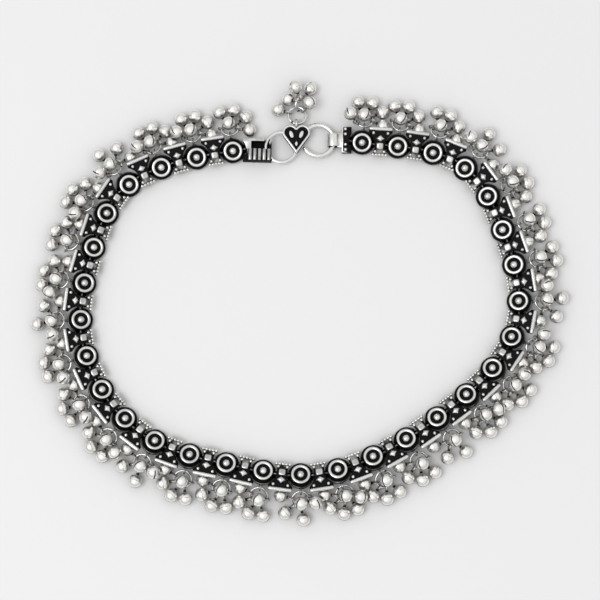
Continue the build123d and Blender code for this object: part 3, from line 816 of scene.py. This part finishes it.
# columns: share of the outline, height above the plate, recess
facets = [(1, -0.1, 1), (1, 0.0, 0.9), (0.93, 0.14, 0.25), (0.55, 0.42, 0), (0.25, 0.47, 0), (0, 0.48, 0)]
bridge.dome(diamond(1.0, 0.8, power=1.0), facets, (0, 1.3, DECK))
steps = [(1, -0.1, 1), (1, 0.05, 0.9), (0.98, 0.34, 0.5), (0.9, 0.42, 0.3)]
steps += [(0.5, 0.42, 0.36), (0, 0.42, 0.38)]
bridge.dome(diamond(0.70, 0.675, power=5), steps, (0, -0.3, DECK))
BAR_HALF, BAR_RADIUS, BAR_ACROSS = 2.65, 0.42, 3.35
bar_end = BAR_HALF - BAR_RADIUS
bar = [(0, -BAR_HALF, 0.6), (0.24, -2.56, 0.4), (0.38, -2.41, 0.2)]
bar += [(BAR_RADIUS, bar_end * k / 3, 0.0) for k in (-3, -2, -1, 0, 1, 2, 3)]
bar += [(0.38, 2.41, 0.2), (0.24, 2.56, 0.4), (0, BAR_HALF, 0.6)]
bridge.lathe(bar, 14, (0, BAR_ACROSS, EDGE_RISE), "X")
HINGE_REACH = EYE_OUT + EYE_RADIUS / 2  # from a rosette's middle to its hinge line
for side in (-1, 1):
    eye_out = HALF_PITCH - HINGE_REACH - EYE_RADIUS / 2
    bridge.wire(circle(EYE_RADIUS, 18, (side * eye_out, 0, EYE_RISE)), EYE_WIRE, 6, recess=0.8)
bridge = bridge.mesh("one_bridge", oxidised_silver)
heights = [v.co.z / MM for v in edge_row.data.vertices]
darkness = [min(1.0, 0.25 + max(0.0, (EDGE_RISE + 0.12 - z) * 3.5)) for z in heights]
store(edge_row.data, "recess", darkness)
store(edge_row.data, "own", [c / MM for v in edge_row.data.vertices for c in v.co], "FLOAT_VECTOR")
with bpy.context.temp_override(active_object=bridge, selected_editable_objects=[bridge, edge_row]):
    bpy.ops.object.join()
print("a bridge has", len(bridge.data.polygons), "faces")

# %% [markdown]
# ## The bell and the jump ring
# A ghungroo is a pressed hollow ball with a slit at the bottom and a soldered loop on a short
# neck. The ring is a round wire bent to a circle with its ends butted, and the butt shows as a
# fine dark line. Both are repeated many times, so each has only as many faces as its outline needs.

# %% Make one bell and one ring
bell = Form()
profile = []
for k in range(13):
    turn = pi * k / 12
    radius = 0 if k in (0, 12) else BALL_RADIUS * sin(turn)
    profile.append((radius, BELL_MIDDLE - BALL_RADIUS * cos(turn), 0.0 if k > 1 else 0.6))
bell.lathe(profile, 20, axis="X")
# columns: radius, place from the loop's middle, recess
neck = [(0, 0.5, 1), (0.2, 0.52, 0.8), (NECK_RADIUS, 0.62, 0.5), (NECK_RADIUS, 0.92, 0.7)]
neck += [(0.42, 1.04, 0.8), (0.5, 1.15, 0.6), (0, 1.2, 0.6)]
bell.lathe(neck, 12, axis="X")
bell.wire(circle(LOOP_RADIUS, 16), LOOP_WIRE, 6, recess=0.45)
bell = bell.mesh("one_bell", white_silver)

RING_WIRE = 0.22


def one_ring(name, radius, wire):
    """A jump ring about Z, dark at the butt of its ends, on its +X side."""
    form = Form()
    form.wire(circle(radius, 36), wire, 8, recess=0.0)
    form.recess = [1.0 if x > 0 and abs(y) < 0.02 else 0.12 for x, y, z in form.points]
    return form.mesh(name, bright_silver)


ring = one_ring("one_ring", RING_RADIUS, RING_WIRE)
print("a bell has", len(bell.data.polygons), "faces and a ring", len(ring.data.polygons))

# %% [markdown]
# ## Setting them on their places
# The second tree sets a copy of one piece on each point of a cloud, and each point brings its turn
# as three angles. The jump rings are also spun about their own axis, so that their butts don't all
# face one way. The bells aren't spun, because each one's loop has to stay as it is on its ring. The
# spin and a tone that varies the tarnish come from seeded random values, so every run gives the
# same anklet. The copies are realized, because a loose instance is lost when the model leaves
# Blender.

# %% A Geometry Nodes tree that sets pieces on places
set_tree = bpy.data.node_groups.new("pieces on places", "GeometryNodeTree")
set_inputs = sockets(
    set_tree,
    "INPUT",
    (
        ("Geometry", "Geometry", None),
        ("Piece", "Object", None),
        ("Spin About", "Vector", None),
        ("Most Spin", "Float", 0.0),
        ("Seed", "Int", 0),
        ("Metal", "Material", None),
    ),
)
sockets(set_tree, "OUTPUT", (("Geometry", "Geometry", None),))
r = Recipe(set_tree)
given = r.add("NodeGroupInput", out=None).outputs
random_tone = r.add("FunctionNodeRandomValue", {2: 0.0, 3: 1.0, "Seed": given["Seed"]}, out=1)
tone = {"Geometry": given["Geometry"], "Name": "tone", "Value": random_tone}
toned = r.add("GeometryNodeStoreNamedAttribute", tone)
angles = r.add("GeometryNodeInputNamedAttribute", {"Name": "turn"}, data_type="FLOAT_VECTOR")
turned = r.add("FunctionNodeEulerToRotation", {0: angles})
other_seed = r.maths("ADD", given["Seed"], 17.0)
least_spin = r.maths("MULTIPLY", given["Most Spin"], -1.0)
spins = {2: least_spin, 3: given["Most Spin"], "Seed": other_seed}
spin = r.add("FunctionNodeRandomValue", spins, out=1)
own_spin = r.add("FunctionNodeAxisAngleToRotation", {"Axis": given["Spin About"], "Angle": spin})
piece = r.add("GeometryNodeObjectInfo", {"Object": given["Piece"]}, out=None)
one_each = {"Points": toned, "Instance": piece.outputs["Geometry"], "Rotation": turned}
copies = r.add("GeometryNodeInstanceOnPoints", one_each)
copies = r.add("GeometryNodeRotateInstances", {"Instances": copies, "Rotation": own_spin})
solid = r.add("GeometryNodeRealizeInstances", {0: copies})
solid = r.add("GeometryNodeSetMaterial", {"Geometry": solid, "Material": given["Metal"]})
r.add("NodeGroupOutput", {0: solid}, out=None)


def set_out(name, piece, places, metal, replaced, seed, about=(1, 0, 0), spin=0.0):
    cloud = bpy.data.meshes.new(name + "_places")
    cloud.from_pydata([p.translation for p in places], [], [])
    store(cloud, "turn", [a for p in places for a in p.to_euler("XYZ")], "FLOAT_VECTOR")
    values = {"Piece": piece, "Spin About": about, "Most Spin": spin, "Seed": seed, "Metal": metal}
    made = grown(name, set_tree, set_inputs, values, cloud)
    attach(made, "root")
    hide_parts(*replaced)
    made.data.calc_loop_triangles()
    print(name, len(places), "set,", len(made.data.loop_triangles), "triangles")
    return made


set_out("rosette_bosses", rosette, rosette_places, oxidised_silver, ROSETTES, 3)
set_out("granulated_bridges", bridge, bridge_places, oxidised_silver, ["bridge_links"], 5)
set_out("jump_rings", ring, ring_places, bright_silver, ["fringe_rings"], 7, (0, 0, 1), pi)
set_out("ghungroo_fringe", bell, bell_places + more_places, white_silver, ["fringe_bells"], 11)
set_out("ghungroo_drop", bell, drop_bell_places, white_silver, ["drop_bells"], 13)
DROP_RING, DROP_LINK = (1.9, 0.27), (1.55, 0.26)  # radius and wire
wide_ring = one_ring("one_drop_ring", *DROP_RING)
small_ring = one_ring("one_drop_link", *DROP_LINK)
set_out("drop_jump_ring", wide_ring, [drop_ring_place], bright_silver, ["drop_ring"], 17)
set_out("drop_small_ring", small_ring, [drop_link_place], bright_silver, ["drop_link"], 19)
for pattern in (rosette, bridge, ring, bell, wide_ring, small_ring):
    bpy.data.objects.remove(pattern)

# %% [markdown]
# ## The clasp
# Three things soldered in a row: a closed ring, a heart plaque, and an open hook that the other
# end's tube slips over. The heart's outline is found by walking out from its middle along many
# rays until the shape ends. Its relief is then a height for every point: a rounded rim, a sunk
# ground left black, a leaf in each lobe and a pip over the point.

# %% The heart's outline and relief
heart_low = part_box("heart_clasp")[0] / MM
LOBE, LOBE_ACROSS, LOBE_UP, TIP_DOWN = 1.62, 1.34, 1.5, 3.1
CLOSED_RADIUS, CLOSED_WIRE, HOOK_RADIUS, HOOK_WIRE = 3.3, 0.44, 3.4, 0.53
HEART_AT, CLOSED_AT, HOOK_AT = (-0.83, 35.5), (-4.1, 33.9), (3.9, 35.4)  # as laid out in the CAD
# the closed ring reaches furthest to the left and down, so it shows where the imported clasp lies
shift_x = heart_low.x - (CLOSED_AT[0] - CLOSED_RADIUS - CLOSED_WIRE)
shift_y = heart_low.y - (CLOSED_AT[1] - CLOSED_RADIUS - CLOSED_WIRE)
eye_low = heart_low.z  # the drop's eye hangs lowest
BACK_RISE, FRONT_RISE, WIRE_RISE = 0.385, 1.735, 0.715  # above the eye's lowest point
HEART_BACK, HEART_FRONT, WIRE_HIGH = eye_low + BACK_RISE, eye_low + FRONT_RISE, eye_low + WIRE_RISE
HEART = (HEART_AT[0] + shift_x, HEART_AT[1] + shift_y)
CLOSED = (CLOSED_AT[0] + shift_x, CLOSED_AT[1] + shift_y, WIRE_HIGH)
HOOK = (HOOK_AT[0] + shift_x, HOOK_AT[1] + shift_y, WIRE_HIGH)

fall = LOBE_UP + TIP_DOWN
tangent = sqrt(LOBE_ACROSS**2 + fall**2 - LOBE**2)
bearing = atan2(fall, LOBE_ACROSS) - atan2(LOBE, tangent)
flank_out, flank_up = tangent * cos(bearing), tangent * sin(bearing) - TIP_DOWN


CORE_UP = 0.35  # the rays start this far above the heart's middle


def in_heart(x, y):
    x = abs(x)
    if hypot(x - LOBE_ACROSS, y - LOBE_UP) <= LOBE:
        return True
    if y < -TIP_DOWN or y > LOBE_UP:
        return False
    if y <= flank_up:
        return x <= flank_out * (y + TIP_DOWN) / (flank_up + TIP_DOWN)
    return x <= LOBE_ACROSS


def heart_edge(turn):
    low, high = 0.0, 5.0
    for _ in range(30):
        middle = (low + high) / 2
        inside = in_heart(middle * cos(turn), CORE_UP + middle * sin(turn))
        low, high = (middle, high) if inside else (low, middle)
    return (low * cos(turn), CORE_UP + low * sin(turn))


RAYS, RINGS = 180, 44
edge = np.array([heart_edge(pi / 2 + 2 * pi * (k + 0.5) / RAYS) for k in range(RAYS)])
print("heart", round(float(np.ptp(edge[:, 0])), 2), "by", round(float(np.ptp(edge[:, 1])), 2), "mm")


GROUND_DEEP, RIM_ROUND, RIM_INNER, RIM_SLOPE = 0.5, 0.14, 0.52, 0.16
RELIEF_RISE, PIP_DOWN, PIP_WIDE, PIP_LONG = 0.42, 0.95, 0.42, 0.72
LEAF_OUT, LEAF_UP, LEAF_TURN, LEAF_WIDE, LEAF_LONG = 1.08, 1.1, -20, 0.46, 0.95


def heart_height(x, y):
    """Height above the ground of the sunk part, and recess."""
    start, end = edge, np.roll(edge, -1, 0)
    way = end - start
    share = np.clip(((x - start[:, 0]) * way[:, 0] + (y - start[:, 1]) * way[:, 1]) / (way**2).sum(1), 0, 1)
    inside = np.hypot(x - start[:, 0] - way[:, 0] * share, y - start[:, 1] - way[:, 1] * share).min()
    if inside < RIM_ROUND:
        return GROUND_DEEP - 3.5 * (RIM_ROUND - inside) ** 2, 0.25 - inside * 1.5
    rise = GROUND_DEEP * min(1, max(0, (RIM_INNER - inside) / RIM_SLOPE))
    for side in (-1, 1):
        u, v = x - side * LEAF_OUT, y - LEAF_UP
        c, s = cos(radians(LEAF_TURN * side)), sin(radians(LEAF_TURN * side))
        leaf = hypot((u * c + v * s) / LEAF_WIDE, (v * c - u * s) / LEAF_LONG)
        rise = max(rise, RELIEF_RISE * min(1, max(0, (1.08 - leaf) / 0.3)))
    pip = abs(x) / PIP_WIDE + abs(y + PIP_DOWN) / PIP_LONG
    rise = max(rise, RELIEF_RISE * min(1, max(0, (1.1 - pip) / 0.35)))
    return rise, min(1.0, max(-0.2, 1.0 - (rise - 0.12) * 4.5))


# %% Make the clasp
clasp = Form()
rows = []
for level in (HEART_BACK, HEART_BACK + 0.1, HEART_FRONT - 0.12):
    rows.append([(x, y, level, 0.75) for x, y in edge])
for j in range(RINGS + 1):
    share = 1 - (j / RINGS) ** 1.1
    row = []
    for x, y in edge if j < RINGS else edge[:1]:
        x, y = x * share, CORE_UP + (y - CORE_UP) * share
        rise, dark = heart_height(x, y)
        row.append((x, y, HEART_FRONT - GROUND_DEEP + rise, dark))
    rows.append(row)
rows = [[(x + HEART[0], y + HEART[1], z, dark) for x, y, z, dark in row] for row in rows]
clasp.grid(rows, cap_first=True)
clasp.wire(circle(CLOSED_RADIUS, 72, CLOSED), CLOSED_WIRE, 14)
HOOK_TIP, HOOK_FOOT, HOOK_STEPS = -147, 138, 60  # degrees: by the heart's point, under its lobe
turns = [radians(HOOK_TIP + (HOOK_FOOT - HOOK_TIP) * k / HOOK_STEPS) for k in range(HOOK_STEPS + 1)]
bend = [(HOOK[0] + HOOK_RADIUS * cos(t), HOOK[1] + HOOK_RADIUS * sin(t), HOOK[2]) for t in turns]
clasp.wire(bend, HOOK_WIRE, 14, closed=False)
clasp.ball(HOOK_WIRE, bend[0], 14, 10)
EYE_UP, DROP_EYE, DROP_EYE_WIRE, DROP_STEM_WIRE = 3.55, 0.8, 0.26, 0.28
eye_middle = (HEART[0], HEART[1] + EYE_UP, (HEART_BACK + HEART_FRONT) / 2)
clasp.wire(circle(DROP_EYE, 24, eye_middle, "YZ"), DROP_EYE_WIRE, 8, recess=0.25)
stem = [(HEART[0], HEART[1] + y, eye_middle[2]) for y in (1.95, 2.3, 2.7, 2.98)]
clasp.wire(stem, DROP_STEM_WIRE, 8, closed=False, recess=0.5)
clasp = clasp.mesh("clasp_heart_and_hook", oxidised_silver)
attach(clasp, "root")
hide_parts("heart_clasp")
print("the clasp has", len(clasp.data.polygons), "faces")

# %% [markdown]
# ## The two end bails
# One is a tube round the hook's wire, with a tongue to the last link. The other is a box with a
# tunnel for the closed ring. Their CAD shapes are right and only too sharp, so a merged copy of
# each gets a small bevel, and its recess comes from how deep each point lies under the top.


# %% Make the end bails
def softened(name, node, bevel, recess):
    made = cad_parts[node].copy()
    made.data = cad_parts[node].data.copy()
    made.name = made.data.name = name
    made.parent = None
    made.matrix_world = Matrix.Identity(4)
    bpy.context.collection.objects.link(made)
    close_up(made)
    edge_bevel = made.modifiers.new("bevel", "BEVEL")
    edge_bevel.width, edge_bevel.segments = bevel * MM, 2
    edge_bevel.limit_method, edge_bevel.angle_limit = "ANGLE", radians(40)
    data = bpy.data.meshes.new_from_object(made.evaluated_get(bpy.context.evaluated_depsgraph_get()))
    made.modifiers.clear()
    made.data = data
    store(data, "recess", [recess(v.co / MM) for v in data.vertices])
    data.materials.clear()
    data.materials.append(oxidised_silver)
    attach(made, "root")
    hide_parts(node)
    print(name, len(data.polygons), "faces")
    return made


box_low, box_high = (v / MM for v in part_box("ring_bail"))
tube_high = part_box("hook_bail")[1] / MM
RIBS_SHARE = 0.53  # of the box's width, from its inner side; the slot lies beyond the ribs
slot_side = box_low.y + RIBS_SHARE * (box_high.y - box_low.y)
# along the tube bail, from the back of its end plate
PLATE_END, TUBE_SIDE = 2.05, 2.75
BRIGHT_ABOVE = 1.95  # the buff reaches the tube above this height


def box_recess(p):
    if p.y < slot_side:
        return min(1.0, 0.42 + max(0.0, (box_high.z - 0.1 - p.z) / 0.3))
    return min(1.0, 0.3 + max(0.0, (box_high.z - 0.5 - p.z) / 0.3))


def tube_recess(p):
    if p.x > tube_high.x - PLATE_END:
        return min(1.0, max(0.0, (tube_high.z - 0.22 - p.z) / 0.12))
    at_joint = 1.0 - abs(p.x - tube_high.x + TUBE_SIDE) / 0.15
    return min(1.0, max(0.0, (BRIGHT_ABOVE - p.z) / 0.9, at_joint))


softened("box_bail", "ring_bail", 0.07, box_recess)
softened("tube_bail", "hook_bail", 0.07, tube_recess)

# %% [markdown]
# ## Floor and light
# Silver shows what is round it, so it needs a pale surround and a few darker places to read as
# metal. The floor and the world are pale. The world that the metal reflects is white overhead and
# dark near the horizon, which draws a soft dark ring inside the edge of every ball. One large
# soft lamp on the left models the forms and casts the faint shadows.

# %% Make the floor and the light
FLOOR_HALF, FLOOR_GREY, BACKDROP_GREY = 6, 0.80, 0.863
WORLD_STRENGTH, MIRROR_DARK, MIRROR_PALE = 0.825, (0.15, 0.15, 0.152, 1), (0.88, 0.88, 0.88, 1)
LAMP_WIDTH, LAMP_WATTS, LAMP_AT = 0.5, 2.2, (-0.35, -0.15, 0.75)

floor_mesh = bpy.data.meshes.new("floor")
floor_corners = [(x * FLOOR_HALF, y * FLOOR_HALF, 0) for x, y in ((-1, -1), (1, -1), (1, 1), (-1, 1))]
floor_mesh.from_pydata(floor_corners, [], [(0, 1, 2, 3)])
floor = placed("floor", floor_mesh)
paper = bpy.data.materials.new("pale floor")
paper.use_nodes = True
surface = paper.node_tree.nodes["Principled BSDF"]
surface.inputs["Base Color"].default_value = (FLOOR_GREY, FLOOR_GREY, FLOOR_GREY, 1)
surface.inputs["Roughness"].default_value = 0.9
surface.inputs["Specular IOR Level"].default_value = 0.0
floor_mesh.materials.append(paper)

world = bpy.data.worlds.new("soft studio")
bpy.context.scene.world = world
world.use_nodes = True
r = Recipe(world.node_tree)
for node in list(world.node_tree.nodes):
    world.node_tree.nodes.remove(node)
seen = r.add("ShaderNodeLightPath", out=None).outputs
way = r.add("ShaderNodeTexCoord", out=0)
rise = r.add("ShaderNodeSeparateXYZ", {0: way}, out=2)
overhead = r.smooth(rise, 0.0, 0.5)
mirrored = r.mixed(overhead, MIRROR_DARK, MIRROR_PALE)
light = r.add("ShaderNodeBackground", {"Color": (1.0, 1.0, 1.0, 1), "Strength": WORLD_STRENGTH})
shine = r.add("ShaderNodeBackground", {"Color": mirrored, "Strength": 1.0})
backdrop_colour = (BACKDROP_GREY, BACKDROP_GREY, BACKDROP_GREY, 1)
backdrop = r.add("ShaderNodeBackground", {"Color": backdrop_colour, "Strength": 1.0})
mixed = r.add("ShaderNodeMixShader", {0: seen["Is Glossy Ray"], 1: light, 2: shine})
mixed = r.add("ShaderNodeMixShader", {0: seen["Is Camera Ray"], 1: mixed, 2: backdrop})
r.add("ShaderNodeOutputWorld", {0: mixed}, out=None)

lamp = placed("softbox", bpy.data.lights.new("softbox", "AREA"))
lamp.data.shape, lamp.data.size = "DISK", LAMP_WIDTH
lamp.data.energy = LAMP_WATTS
lamp.location = LAMP_AT
lamp.rotation_mode = "QUATERNION"
lamp.rotation_quaternion = Vector(lamp.location).to_track_quat("Z", "Y")
print("light set")
